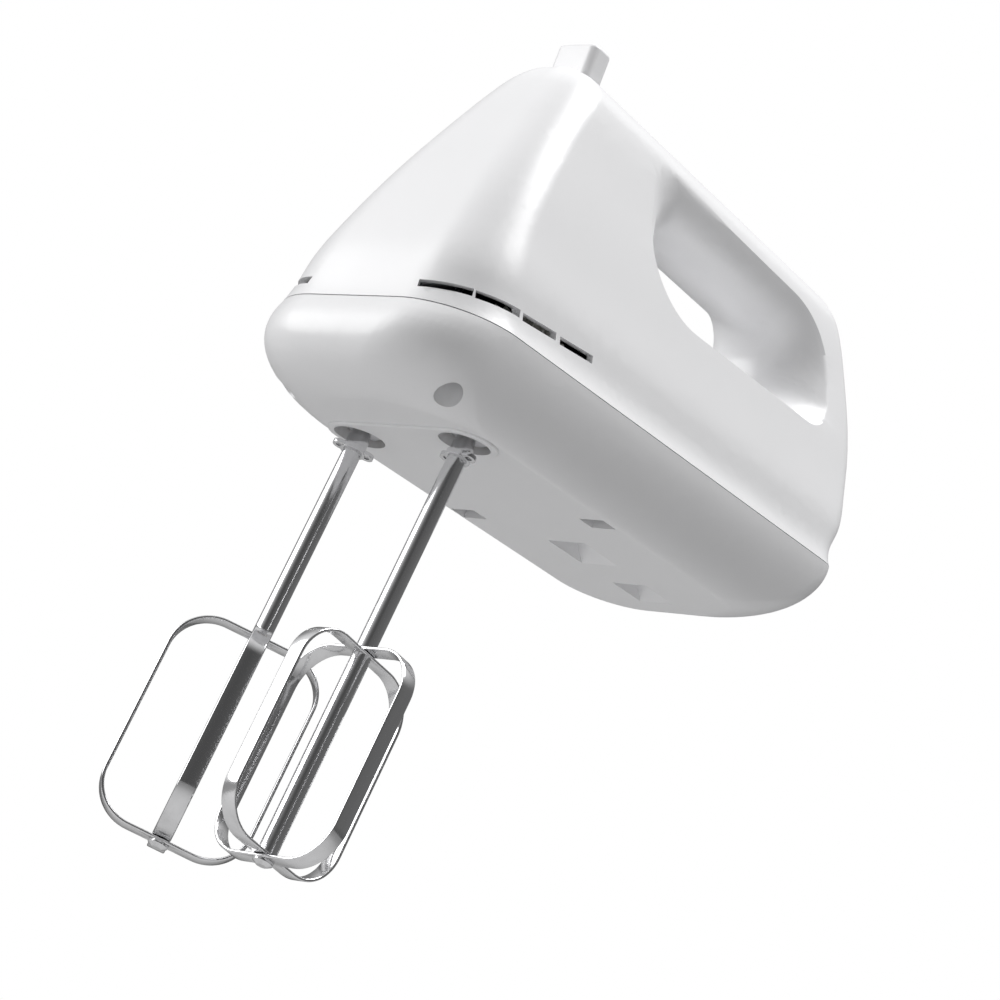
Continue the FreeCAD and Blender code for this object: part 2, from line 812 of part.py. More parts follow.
def loop_solid(inset):
    """A flat strip bent into a tall loop with round corners, drawn in the XZ plane."""
    thick = size("loop_thick")

    def path(extra):
        half = size("loop_radius") - extra
        top = -size("loop_top") - inset - extra
        bottom = -size("loop_bottom") + inset + extra
        radius = size("loop_corner") - extra
        bend = math.sqrt(0.5)
        edges = []
        corners = ((1, top, -1), (1, bottom, 1), (-1, bottom, 1), (-1, top, -1))
        arcs = []
        for index, (x_side, level, z_side) in enumerate(corners):
            centre = V(x_side * (half - radius), 0, level + z_side * radius)
            flat_end = V(centre.x, 0, level)
            side_end = V(x_side * half, 0, centre.z)
            middle = V(centre.x + x_side * radius * bend, 0, centre.z - z_side * radius * bend)
            ends = (flat_end, side_end) if index % 2 == 0 else (side_end, flat_end)
            arcs.append(Part.Arc(ends[0], middle, ends[1]))
        for index, arc in enumerate(arcs):
            edges.append(arc.toShape())
            edges.append(Part.LineSegment(arc.EndPoint, arcs[(index + 1) % 4].StartPoint).toShape())
        return Part.Wire(edges)

    band = Part.Face([path(0), path(thick)])
    band.validate()
    strip = band.extrude(V(0, size("loop_width"), 0))
    strip.translate(V(0, -size("loop_width") / 2, 0))
    hole = Part.makeCylinder(tip_radius() + size("seat_gap"), 200, V(0, 0, -190))
    return strip.cut(hole)


def tip_radius():
    return size("stem_dia") / 2 - 0.9


def make_stem(body):
    """The stem, thinner below its shoulder where the two loops are threaded on."""
    revolve(body, [
        ("0 mm", "-loop_bottom * 1 mm"),
        ("(stem_dia / 2 - 0.9) * 1 mm", "-loop_bottom * 1 mm"),
        ("(stem_dia / 2 - 0.9) * 1 mm", "(-loop_bottom + 2 * loop_thick) * 1 mm"),
        ("stem_dia / 2 * 1 mm", "(-loop_bottom + 2 * loop_thick) * 1 mm"),
        ("stem_dia / 2 * 1 mm", "(-loop_top - 2 * loop_thick) * 1 mm"),
        ("(stem_dia / 2 - 0.9) * 1 mm", "(-loop_top - 2 * loop_thick) * 1 mm"),
        ("(stem_dia / 2 - 0.9) * 1 mm", "-loop_top * 1 mm"),
        ("stem_dia / 2 * 1 mm", "-loop_top * 1 mm"),
        ("stem_dia / 2 * 1 mm", "(stem_top - 1) * 1 mm"),
        ("(stem_dia / 2 - 1) * 1 mm", "stem_top * 1 mm"),
        ("0 mm", "stem_top * 1 mm"),
    ])


def make_collar():
    """The ring on the stem below the socket, with two pierced ears."""
    middle = -size("collar_level")
    low = middle - size("collar_height") / 2
    ring = Part.makeCylinder(size("collar_radius"), size("collar_height"), V(0, 0, low))
    sleeve = Part.makeCylinder(size("stem_dia") / 2 + 0.5, 3.0, V(0, 0, low + size("collar_height")))
    half = size("ear_width") / 2
    thick = size("ear_thick")
    centre = size("ear_reach") - half
    solid = ring.fuse(sleeve)
    for side in (-1, 1):
        tip = Part.makeCylinder(half, thick, V(side * centre, 0, middle - thick / 2))
        root = block((0, centre), (-half, half), (middle - thick / 2, middle + thick / 2))
        if side < 0:
            root = root.mirror(V(0, 0, 0), X_AXIS)
        hole = Part.makeCylinder(half - 1.3, 10, V(side * (centre + 0.2), 0, middle - 5))
        solid = solid.fuse(tip.fuse(root).cut(hole))
    solid = solid.removeSplitter()
    return solid.cut(Part.makeCylinder(size("stem_dia") / 2 + size("seat_gap"), 20, V(0, 0, low - 5)))


def beater_placement(sign, name):
    turn = size(name + "_beater_turn")
    return FreeCAD.Placement(V(sign * SHAFT_X, 0, 0), FreeCAD.Rotation(Z_AXIS, turn))


def build_beaters():
    for name, sign in SIDES:
        across = f"{sign} * beater_spacing / 2 * 1 mm"
        stem = new_body(f"{name}_beater_stem")
        make_stem(stem)
        place(stem, across=across)
        where = beater_placement(sign, name)
        shaped(f"{name}_beater_collar", make_collar(), where)
        shaped(f"{name}_beater_loop_outer", loop_solid(0), where)
        crossed = FreeCAD.Placement(where.Base, FreeCAD.Rotation(Z_AXIS, size(name + "_beater_turn") + 90))
        shaped(f"{name}_beater_loop_inner", loop_solid(size("loop_thick")), crossed)
        rivet = new_body(f"{name}_beater_rivet")
        revolve(rivet, [
            ("0 mm", "(-loop_bottom - 1.6) * 1 mm"),
            ("1.6 mm", "(-loop_bottom - 1.6) * 1 mm"),
            ("3.0 mm", "(-loop_bottom - 0.7) * 1 mm"),
            ("3.0 mm", "-loop_bottom * 1 mm"),
            ("0 mm", "-loop_bottom * 1 mm"),
        ])
        place(rivet, across=across)


# ---------------------------------------------------------------- sub-parts of the drive

def build_drive():
    level = size("axis_height")
    for name, sign in SIDES:
        across = f"{sign} * beater_spacing / 2 * 1 mm"
        where = FreeCAD.Placement(V(sign * SHAFT_X, 0, 0), FreeCAD.Rotation())
        shaped(f"{name}_spindle", make_spindle_shape(), where)
        at_gear = FreeCAD.Placement(V(sign * SHAFT_X, 0, level), FreeCAD.Rotation())
        facing = 180.0 if sign > 0 else 0.0
        shaped(f"{name}_worm_wheel", make_wheel(facing + wheel_phase(sign)), at_gear)
        lower = new_body(f"{name}_lower_bush")
        revolve(lower, ring_corners("spindle_radius + running_gap",
                                    "spindle_radius + running_gap + bush_wall",
                                    "bush_level", "bush_level + bush_length"))
        place(lower, across=across)
        upper = new_body(f"{name}_upper_bush")
        revolve(upper, ring_corners("spindle_radius - 2.6 + running_gap",
                                    "spindle_radius - 0.8 + running_gap",
                                    "frame_level", "frame_level + frame_plate"))
        place(upper, across=across)
    shaped("gear_frame", make_gear_frame())


def ring_corners(inner, outer, low, high):
    """The half section of a plain ring, from formulas without units."""
    return [(f"({inner}) * 1 mm", f"({low}) * 1 mm"), (f"({outer}) * 1 mm", f"({low}) * 1 mm"),
            (f"({outer}) * 1 mm", f"({high}) * 1 mm"), (f"({inner}) * 1 mm", f"({high}) * 1 mm")]


def wheel_phase(sign):
    """Turn that sets a tooth gap of the wheel on the worm's thread, in degrees."""
    return 180.0 / wheel_teeth() * (1 if sign > 0 else 0)


def motor_ring(label, inner, outer, low, high):
    ring = new_body(label)
    revolve(ring, ring_corners(inner, outer, low, high))
    along_motor(ring)
    return ring


def build_motor():
    motor = FreeCAD.Placement(V(0, 0, size("axis_height")), FreeCAD.Rotation(X_AXIS, -90))
    shaped("armature_shaft", make_armature_shaft(), motor)
    core = motor_ring("armature_core", "motor_shaft_dia / 2", "armature_radius", "armature_start",
                      "armature_start + armature_length")
    slot = new_sketch(core, "XY_Plane")
    outline(slot, [("(armature_radius - 5) * 1 mm", "-0.9 mm"), ("(armature_radius + 2) * 1 mm", "-0.9 mm"),
                   ("(armature_radius + 2) * 1 mm", "0.9 mm"), ("(armature_radius - 5) * 1 mm", "0.9 mm")])
    around(core, pocket_through(core, slot), 12)
    windings = []
    start = size("armature_start")
    end = start + size("armature_length")
    for low in (start - 4.5, end):
        windings.append(tube(size("armature_radius") - 2, size("motor_shaft_dia") / 2 + 0.6, 4.5,
                             V(0, 0, low)))
    shaped("armature_windings", grouped(windings), motor)
    commutator = motor_ring("commutator", "motor_shaft_dia / 2", "commutator_radius", "commutator_start",
                            "commutator_start + commutator_length")
    gap = new_sketch(commutator, "XY_Plane")
    outline(gap, [("(commutator_radius - 1) * 1 mm", "-0.25 mm"),
                  ("(commutator_radius + 1) * 1 mm", "-0.25 mm"),
                  ("(commutator_radius + 1) * 1 mm", "0.25 mm"),
                  ("(commutator_radius - 1) * 1 mm", "0.25 mm")])
    around(commutator, pocket_through(commutator, gap), 12)
    shaped("cooling_fan", make_fan(), motor)
    bush_end = "motor_shaft_dia / 2 + running_gap"
    bush_rim = "motor_shaft_dia / 2 + running_gap + 1.8"
    motor_ring("front_shaft_bush", bush_end, bush_rim,
               "-lug_reach - lug_thick / 2", "-lug_reach + lug_thick / 2")
    motor_ring("middle_shaft_bush", bush_end, bush_rim,
               "lug_reach - lug_thick / 2", "lug_reach + lug_thick / 2")
    motor_ring("rear_shaft_bush", bush_end, bush_rim, "rear_bearing_start", "rear_bearing_start + 4")
    build_stator()
    build_brushes()


def make_fan():
    """Hub, back disc and flat blades, drawn about the shaft."""
    start = size("fan_start")
    radius = size("fan_radius")
    hub = Part.makeCylinder(5.0, size("fan_length"), V(0, 0, start))
    disc = Part.makeCylinder(radius, 1.2, V(0, 0, start))
    blades = []
    for index in range(9):
        blade = block((3.5, radius - 0.3), (-0.6, 0.6), (start, start + size("fan_length")))
        blade.rotate(V(0, 0, 0), Z_AXIS, 40 * index)
        blades.append(blade)
    fan = hub.fuse([disc] + blades)
    return fan.cut(Part.makeCylinder(size("motor_shaft_dia") / 2, 40, V(0, 0, start - 10)))


def build_stator():
    start = size("armature_start")
    length = size("armature_length")
    height = size("axis_height")
    half_width = size("stator_width") / 2
    half_height = size("stator_height") / 2
    packet = block((-half_width, half_width), (start, start + length),
                   (height - half_height, height + half_height))
    uprights = [edge for edge in packet.Edges if abs(edge.tangentAt(edge.FirstParameter).y) > 0.9]
    packet = packet.makeFillet(5.0, uprights)
    bore = size("armature_radius") + size("air_gap")
    packet = packet.cut(Part.makeCylinder(bore, length + 2, V(0, start - 1, height), Y_AXIS))
    shaped("stator_core", packet)
    coils = []
    for low, high in ((start - 5, start), (start + length, start + length + 5)):
        ring = block((-half_width + 1.5, half_width - 1.5), (low, high),
                     (height - half_height + 3, height + half_height - 3))
        coils.append(ring.cut(Part.makeCylinder(bore + 0.3, 20, V(0, low - 5, height), Y_AXIS)))
    shaped("field_coils", grouped(coils))


def build_brushes():
    """The rear bracket, its two brush holders, the brushes and their springs."""
    height = size("axis_height")
    start = size("rear_bearing_start")
    plate = block((-19, 19), (start, start + 4), (bracket_foot(), height + 12))
    plate = plate.cut(Part.makeCylinder(shaft_bush_outer(), 20, V(0, start - 5, height), Y_AXIS))
    shaped("rear_bearing_bracket", plate)
    contact = size("commutator_radius") + 0.3
    low_y = size("commutator_start") + 2
    high_y = low_y + 5
    holders = []
    brushes = []
    springs = []
    for sign in (1, -1):
        def across(near, far):
            return tuple(sorted((sign * near, sign * far)))
        holder = block(across(contact + 1.2, contact + 11), (low_y - 1, start), (height - 4, height + 4))
        holder = holder.cut(block(across(contact - 1, contact + 10), (low_y, high_y),
                                  (height - 3, height + 3)))
        holders.append(holder)
        brushes.append(block(across(contact, contact + 6), (low_y, high_y), (height - 3, height + 3)))
        springs.append(tube(2.2, 1.4, 4.0, V(sign * (contact + 6), (low_y + high_y) / 2, height),
                            V(sign, 0, 0)))
    shaped("brush_holders", grouped(holders))
    shaped("carbon_brushes", grouped(brushes))
    shaped("brush_springs", grouped(springs))


# ---------------------------------------------------------------- controls

def build_controls():
    """Knob, carriage, eject plunger, its spring and the speed switch."""
    travel = size("knob_travel")
    gap = size("slide_gap")
    wall = size("wall")
    half_width = size("knob_width") / 2
    half_length = size("knob_length") / 2
    head = block((-half_width, half_width), (-half_length, half_length), (-wall - 5.6, size("knob_rise")))
    upright = [edge for edge in head.Edges if edge.Vertexes[0].Z * edge.Vertexes[1].Z < 0]
    head = head.makeFillet(size("knob_corner"), upright)
    rim = [edge for edge in head.Edges if edge.BoundBox.ZMin > size("knob_rise") - 0.01]
    knob = on_grip(head.makeFillet(1.4, rim))
    shaped("speed_knob", knob, TILT.multiply(knob.Placement))
    plate = block((-half_width - 1.5, half_width + 1.5), (-half_length - 1.5, half_length + travel + 4),
                  (-wall - 5.0, -wall - 3.0))
    hole = block((-half_width - gap, half_width + gap), (-half_length - gap, half_length + gap),
                 (-wall - 9, 9))
    tongue = block((-2.0, 2.0), (half_length + travel, half_length + travel + 3), (-wall - 8.6, -wall - 5.0))
    carriage = on_grip(plate.cut(hole).fuse(tongue))
    shaped("selector_carriage", carriage, TILT.multiply(carriage.Placement))
    switch_front = half_length + travel + 1.2
    switch = block((-8, 8), (switch_front, switch_front + travel + 10), (-wall - 20, -wall - 5.5))
    groove = block((-2.4, 2.4), (switch_front - 1, switch_front + travel + 6), (-wall - 9.4, -wall - 5))
    switch = on_grip(switch.cut(groove))
    shaped("speed_switch", switch, TILT.multiply(switch.Placement))
    build_plunger()


def build_plunger():
    """A crossbar above the gear frame with two push pins and a rod up to the knob."""
    level = size("plunger_level")
    bar = block((-SHAFT_X - 3, SHAFT_X + 3), (-4, 4), (level, level + 3))
    pins = [Part.makeCylinder(pin_radius(), level - size("stem_top") - size("press_travel") - 0.8,
                              V(sign * SHAFT_X, 0, size("stem_top") + size("press_travel") + 0.8))
            for name, sign in SIDES]
    foot = in_row(knob_frame().multVec(V(0, 0, -size("wall") - 6.0)))
    top = foot.z - 0.6
    rod = block((-3, 3), (-3, 3), (level, top - 20))
    reach = foot.y + size("knob_travel")
    step = block((-3, 3), (-3, reach), (top - 24, top - 20))
    post = block((-3, 3), (foot.y - 3, reach), (top - 24, top))
    slope = Part.makeBox(40, 80, 30, V(-20, -40, 0))
    slope.Placement = TILT.multiply(knob_frame()).multiply(
        FreeCAD.Placement(V(0, 0, -size("wall") - 6.0), FreeCAD.Rotation()))
    plunger = bar.fuse(pins + [rod, step, post]).removeSplitter().cut(slope)
    shaped("eject_plunger", plunger)
    spring_low = size("frame_level") + size("frame_plate")
    coils = 4
    wire = 0.5
    rise = (level - spring_low - 2 * wire) / coils
    helix = Part.makeHelix(rise, coils * rise, 4.5)
    sweep = Part.BRepOffsetAPI.MakePipeShell(Part.Wire(helix.Edges))
    sweep.setFrenetMode(True)
    sweep.add(Part.Wire(Part.makeCircle(wire, V(4.5, 0, 0), Y_AXIS)))
    sweep.build()
    sweep.makeSolid()
    spring = sweep.shape()
    spring.translate(V(0, 0, spring_low + wire))
    shaped("eject_spring", spring)


# ---------------------------------------------------------------- housing group

def build_housing():
    shaped("upper_housing", make_upper_housing(), TILT)
    shaped("lower_housing", make_lower_housing(), TILT)
    wall = size("wall")
    rear = rear_at(size("cord_inlet_level"))
    flange_radius = cord_seat_radius() + 1.6
    low_wall = rear_at(size("cord_inlet_level") - flange_radius) - wall
    inlet_base = V(0, low_wall - 1.5 - size("seat_gap"), size("cord_inlet_level"))
    flange = tube(flange_radius, size("cord_hole_radius"), 1.5, inlet_base, Y_AXIS)
    sleeve = tube(cord_seat_radius() - size("seat_gap"), size("cord_hole_radius"),
                  rear - inlet_base.y, inlet_base, Y_AXIS)
    shaped("cord_inlet_bush", flange.fuse(sleeve).removeSplitter(), TILT)
    screws = []
    for x, y in screw_places():
        head = Part.makeCylinder(size("screw_radius") + 1.4, 2.0, V(x, y, size("screw_seat") - 2.0))
        shank = Part.makeCylinder(size("screw_radius"), 12.0, V(x, y, size("screw_seat")))
        screws.append(head.fuse(shank).removeSplitter())
    shaped("housing_screws", grouped(screws), TILT)
    half_board = size("board_length") / 2
    board_top = size("board_level") + 1.6
    board = block((-size("board_width") / 2, size("board_width") / 2),
                  (board_centre() - half_board, board_centre() + half_board),
                  (size("board_level"), board_top))
    shaped("control_board", board, TILT)
    capacitor = block((-9, 9), (board_centre() - 6, board_centre() + 4), (board_top, board_top + 10.4))
    shaped("noise_capacitor", capacitor, TILT)


def check(item):
    """Stop when a sub-part did not come out as sound solids."""
    shape = item.Shape
    bad_state = [word for word in item.State if word in ("Invalid", "Error")]
    if bad_state or shape.isNull() or not shape.isValid() or not shape.Solids:
        raise RuntimeError(f"{item.Label} is not a sound solid")


build_housing()
build_beaters()
build_drive()
build_motor()
build_controls()
doc.recompute()
for member in doc.Objects:
    if "Invalid" in member.State or "Error" in member.State:
        raise RuntimeError(member.Label + " failed")
for part in parts:
    check(part)
os.makedirs("parts", exist_ok=True)
for part in parts:
    part.Shape.exportStep(f"parts/{part.Label}.step")
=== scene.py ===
"""Looks for a hand mixer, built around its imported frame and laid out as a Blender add-on.

Lengths are in metres and angles in degrees unless a comment or a setting says otherwise.
"""
import json
import math

import bpy
from bpy.props import FloatProperty, FloatVectorProperty, IntProperty, PointerProperty
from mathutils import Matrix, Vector

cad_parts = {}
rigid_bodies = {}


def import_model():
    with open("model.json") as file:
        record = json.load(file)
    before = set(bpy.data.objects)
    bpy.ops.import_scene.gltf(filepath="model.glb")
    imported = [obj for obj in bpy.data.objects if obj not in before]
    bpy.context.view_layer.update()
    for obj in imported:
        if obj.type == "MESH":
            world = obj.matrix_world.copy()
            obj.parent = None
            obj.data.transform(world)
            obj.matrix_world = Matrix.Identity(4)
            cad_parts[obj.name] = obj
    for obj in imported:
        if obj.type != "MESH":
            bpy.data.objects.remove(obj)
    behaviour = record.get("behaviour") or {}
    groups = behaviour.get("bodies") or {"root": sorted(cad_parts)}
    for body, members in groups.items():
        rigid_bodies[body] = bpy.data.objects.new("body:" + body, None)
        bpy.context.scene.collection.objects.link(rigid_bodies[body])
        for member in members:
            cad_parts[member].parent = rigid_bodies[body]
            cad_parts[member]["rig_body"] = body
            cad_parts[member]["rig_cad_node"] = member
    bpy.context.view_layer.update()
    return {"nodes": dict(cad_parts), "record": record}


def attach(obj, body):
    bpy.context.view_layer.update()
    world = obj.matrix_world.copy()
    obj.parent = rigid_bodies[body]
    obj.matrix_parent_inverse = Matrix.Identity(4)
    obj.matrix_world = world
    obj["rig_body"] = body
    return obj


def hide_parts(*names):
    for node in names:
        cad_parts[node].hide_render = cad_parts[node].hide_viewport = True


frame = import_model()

bl_info = {
    "name": "Hand Mixer Looks",
    "version": (1, 0, 0),
    "blender": (4, 5, 0),
    "location": "View3D > Sidebar > Hand Mixer",
    "description": "Builds a hand mixer's visible pieces, finishes and studio around its frame",
    "category": "Add Mesh",
}

MM = 0.001

# Corners nearer than this are joined, and faces within this angle of level become one.
JOIN_DISTANCE = 0.001 * MM
LEVEL_ANGLE = 0.01

# Edges that turn by more than this are rounded.
SHARP_ANGLE = 32

# Faces that meet at less than this are shaded as one surface.
HOUSING_SMOOTH = 28
KNOB_SMOOTH = 40
STEM_SMOOTH = 40
LOOP_SMOOTH = 60

# How strongly the large faces win over the small ones in a smooth surface.
LARGE_FACE_WEIGHT = 100
SAME_WEIGHT_WITHIN = 0.01

# The part of a noise's range that is spread over its whole effect.
NOISE_LOW = 0.2
NOISE_HIGH = 0.8
RELIEF_DEPTH = 0.02 * MM

# Plastics: the fine skin, and the slow blotches that shift colour and roughness.
SKIN_SCALE = 1500.0
SKIN_DETAIL = 4.0
SKIN_RELIEF = 0.06
BLOTCH_SCALE = 22.0
BLOTCH_DETAIL = 2.0
BLOTCH_DARKER = 0.965
BLOTCH_ROUGHER = 0.12
COAT_ROUGHNESS = 0.24
PLASTIC_IOR = 1.5

# Metals: the streaks, even in all directions or drawn out along Z.
STREAK_SCALE = 420.0
STREAK_DETAIL = 2.0
STREAK_RELIEF = 0.05
STREAK_DARKER = 0.93
STREAK_ROUGHER = 0.15
EVEN_STREAKS = (1.0, 1.0, 1.0)
DRAWN_STREAKS = (1.0, 1.0, 0.08)

# Finish of each material slot as packed: kind, colour and roughness.
# The housings, the knob and the beaters get finishes of their own on their copies.
PACKED_FINISHES = {
    "grey_nylon": ("moulded", (0.55, 0.55, 0.55), 0.5),
    "black_plastic": ("moulded", (0.03, 0.03, 0.03), 0.45),
    "steel": ("metal", (0.55, 0.55, 0.57), 0.3),
    "iron_core": ("metal", (0.22, 0.22, 0.24), 0.45),
    "copper": ("metal", (0.72, 0.35, 0.18), 0.3),
    "bronze": ("metal", (0.60, 0.42, 0.22), 0.4),
    "white_nylon": ("moulded", (0.78, 0.77, 0.72), 0.45),
    "carbon": ("moulded", (0.03, 0.03, 0.03), 0.7),
    "board": ("moulded", (0.06, 0.16, 0.06), 0.4),
    "white_shell": ("moulded", (0.80, 0.80, 0.81), 0.3),
    "white_knob": ("moulded", (0.80, 0.80, 0.81), 0.36),
    "chrome_wire": ("metal", (0.74, 0.74, 0.75), 0.12),
    "chrome_stem": ("metal", (0.74, 0.74, 0.75), 0.12),
}

# Brightness of the room's walls, by azimuth from +X towards +Y.
ROOM_BANDS = ((-180, 0.25), (-165, 0.70), (-138, 1.30), (-104, 0.70), (-84, 0.25), (-55, 0.06),
              (-27, 0.10), (4, 0.24), (36, 0.60), (56, 0.95), (95, 0.40), (140, 0.18), (180, 0.25))

# What lies over the walls: the height, from -1 to 1, where it starts and where it is full, and its
# brightness. These are the ceiling, everything from the horizon down, and the ground.
ROOM_LAYERS = (
    (0.55, 0.95, 0.85),
    (0.25, -0.12, 0.08),
    (-0.35, -0.9, 0.14),
)

# Soft round lamps: name, direction from the aim, distance, diameter and power in watts.
LAMP_AIM = (0.0, 0.05, 0.02)
LAMPS = (
    ("front", (-0.6, -0.75, 0.33), 1.8, 1.4, 19.0),
    ("top", (0.32, 0.12, 0.94), 1.6, 1.0, 26.0),
)

FLOOR_SIZE = 120.0
FLOOR_GREY = 0.55
FLOOR_ROUGHNESS = 0.9
SENSOR_WIDTH = 36.0      # in millimetres, like the lens


# ---------------------------------------------------------------- settings

class ShellSettings(bpy.types.PropertyGroup):
    """Colour and edges of the white mouldings"""

    colour: FloatVectorProperty(
        name="Shell colour", description="Colour of the white housings and the knob",
        subtype="COLOR", default=(0.80, 0.80, 0.81), min=0.0, max=1.0)
    edge_round: FloatProperty(
        name="Edge rounding", description="Radius of the moulded edges", default=0.35 * MM,
        min=0.0, unit="LENGTH")
    edge_steps: IntProperty(
        name="Edge steps", description="Segments across each rounded edge", default=2,
        min=1, max=6)


class BeaterSettings(bpy.types.PropertyGroup):
    """Colour and edges of the beaters"""

    colour: FloatVectorProperty(
        name="Metal colour", description="Colour of the plated strips and stems",
        subtype="COLOR", default=(0.74, 0.74, 0.75), min=0.0, max=1.0)
    edge_round: FloatProperty(
        name="Beater edge rounding", description="Radius of the beaters' edges", default=0.4 * MM,
        min=0.0, unit="LENGTH")
    edge_steps: IntProperty(
        name="Beater edge steps", description="Segments across each rounded edge", default=3,
        min=1, max=6)


class StudioSettings(bpy.types.PropertyGroup):
    """Camera and floor"""

    camera_place: FloatVectorProperty(
        name="Camera place", description="Where the camera stands", subtype="TRANSLATION",
        default=(0.7378, -0.6838, -0.4178), unit="LENGTH")
    camera_turn: FloatVectorProperty(
        name="Camera turn", description="Camera rotation about X, Y and Z", subtype="EULER",
        default=(math.radians(114.41), math.radians(-23.40), math.radians(35.23)))
    lens: FloatProperty(
        name="Lens", description="Focal length in millimetres", default=136.4, min=1.0)
    floor_level: FloatProperty(
        name="Floor level", description="Height of the floor", default=-0.62, unit="LENGTH")


# ---------------------------------------------------------------- pieces

def select_only(piece):
    bpy.ops.object.select_all(action="DESELECT")
    piece.select_set(True)
    bpy.context.view_layer.objects.active = piece


def copy_of_node(node, name, flatten):
    """A separate copy of a node with its triangles joined up, and merged where they are level."""
    select_only(frame["nodes"][node])
    bpy.ops.object.duplicate()
    piece = bpy.context.view_layer.objects.active
    piece.name = name
    piece.data.name = name
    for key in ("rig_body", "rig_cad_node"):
        if key in piece:
            del piece[key]
    piece.parent = None
    bpy.ops.object.mode_set(mode="EDIT")
    bpy.ops.mesh.select_all(action="SELECT")
    bpy.ops.mesh.remove_doubles(threshold=JOIN_DISTANCE)
    if flatten:
        bpy.ops.mesh.dissolve_limited(angle_limit=math.radians(LEVEL_ANGLE))
    bpy.ops.object.mode_set(mode="OBJECT")
    return piece


def apply_modifier(piece, kind, name, **values):
    select_only(piece)
    modifier = piece.modifiers.new(name, kind)
    for key, value in values.items():
        setattr(modifier, key, value)
    bpy.ops.object.modifier_apply(modifier=modifier.name)


def rounded_copy(node, name, look, smooth_angle, even=True):
    """A copy of a node with rounded edges and smooth shading.

    Even shading suits broad faces. Thin bent strips keep their triangles and do without it.
    """
    piece = copy_of_node(node, name, flatten=even)
    apply_modifier(piece, "BEVEL", "Edges", width=look.edge_round, segments=look.edge_steps,
                   limit_method="ANGLE", angle_limit=math.radians(SHARP_ANGLE),
                   use_clamp_overlap=True, harden_normals=False)
    select_only(piece)
    bpy.ops.object.shade_smooth_by_angle(angle=math.radians(smooth_angle))
    if even:
        apply_modifier(piece, "WEIGHTED_NORMAL", "Even Shading", mode="FACE_AREA",
                       weight=LARGE_FACE_WEIGHT, thresh=SAME_WEIGHT_WITHIN, keep_sharp=True)
    return piece


def finish_piece(piece, node, body, material):
    """Give the piece its material, fix it to the body it rides on and hide the node it stands in
    for.
    """
    set_material(piece, material)
    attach(piece, body)
    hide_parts(node)


def set_material(piece, material):
    piece.data.materials.clear()
    piece.data.materials.append(material)


# ---------------------------------------------------------------- materials

def new_material(name):
    material = bpy.data.materials.new(name)
    material.use_nodes = True
    tree = material.node_tree
    return material, tree.nodes, tree.links, tree.nodes["Principled BSDF"]


def surface_grain_group():
    """Fine unevenness of a moulded surface, as a height, and a slow blotch mask."""
    group = bpy.data.node_groups.get("Surface Grain")
    if group:
        return group
    group = bpy.data.node_groups.new("Surface Grain", "ShaderNodeTree")
    for socket, direction in (("Fine Scale", "INPUT"), ("Blotch Scale", "INPUT"),
                              ("Height", "OUTPUT"), ("Blotch", "OUTPUT")):
        group.interface.new_socket(socket, in_out=direction, socket_type="NodeSocketFloat")
    nodes = group.nodes
    links = group.links
    start = nodes.new("NodeGroupInput")
    end = nodes.new("NodeGroupOutput")
    place = nodes.new("ShaderNodeTexCoord")
    for scale, detail, result in (("Fine Scale", SKIN_DETAIL, "Height"),
                                  ("Blotch Scale", BLOTCH_DETAIL, "Blotch")):
        noise = nodes.new("ShaderNodeTexNoise")
        noise.inputs["Detail"].default_value = detail
        links.new(place.outputs["Object"], noise.inputs["Vector"])
        links.new(start.outputs[scale], noise.inputs["Scale"])
        links.new(noise.outputs["Fac"], end.inputs[result])
    return group


def surface_grain(nodes):
    node = nodes.new("ShaderNodeGroup")
    node.node_tree = surface_grain_group()
    node.inputs["Fine Scale"].default_value = SKIN_SCALE
    node.inputs["Blotch Scale"].default_value = BLOTCH_SCALE
    return node


def mapped(nodes, links, source, start, end, low=0.0, high=1.0, interpolation="SMOOTHSTEP"):
    """Turn a value that runs from start to end into one that runs from low to high."""
    node = nodes.new("ShaderNodeMapRange")
    node.interpolation_type = interpolation
    for socket, value in (("From Min", start), ("From Max", end), ("To Min", low),
                          ("To Max", high)):
        node.inputs[socket].default_value = value
    links.new(source, node.inputs["Value"])
    return node.outputs["Result"]


def tint(nodes, links, mask, first, second):
    """The first colour where the mask is 0 and the second where it is 1."""
    node = nodes.new("ShaderNodeMix")
    node.data_type = "RGBA"
    node.inputs["A"].default_value = (*first, 1)
    node.inputs["B"].default_value = (*second, 1)
    links.new(mask, node.inputs["Factor"])
    return node.outputs["Result"]


def vary(nodes, links, shader, noise, colour, darker, roughness, rougher):
    """Let a noise darken the colour and shift the roughness either way, both by a little."""
    mask = mapped(nodes, links, noise, NOISE_LOW, NOISE_HIGH)
    dark = tuple(channel * darker for channel in colour)
    links.new(tint(nodes, links, mask, colour, dark), shader.inputs["Base Color"])
    gloss = mapped(nodes, links, noise, NOISE_LOW, NOISE_HIGH,
                   roughness * (1 - rougher), roughness * (1 + rougher))
    links.new(gloss, shader.inputs["Roughness"])


def bump(nodes, links, height, strength, shader):
    node = nodes.new("ShaderNodeBump")
    node.inputs["Strength"].default_value = strength
    node.inputs["Distance"].default_value = RELIEF_DEPTH
    links.new(height, node.inputs["Height"])
    links.new(node.outputs["Normal"], shader.inputs["Normal"])


def moulded(name, colour, roughness, coat=0.0):
    """Moulded plastic: faint flow marks in the gloss and a fine skin texture."""
    existing = bpy.data.materials.get(name)
    if existing:
        return existing
    material, nodes, links, shader = new_material(name)
    skin = surface_grain(nodes)
    vary(nodes, links, shader, skin.outputs["Blotch"], colour, BLOTCH_DARKER,
         roughness, BLOTCH_ROUGHER)
    shader.inputs["Coat Weight"].default_value = coat
    shader.inputs["Coat Roughness"].default_value = COAT_ROUGHNESS
    shader.inputs["IOR"].default_value = PLASTIC_IOR
    bump(nodes, links, skin.outputs["Height"], SKIN_RELIEF, shader)
    return material


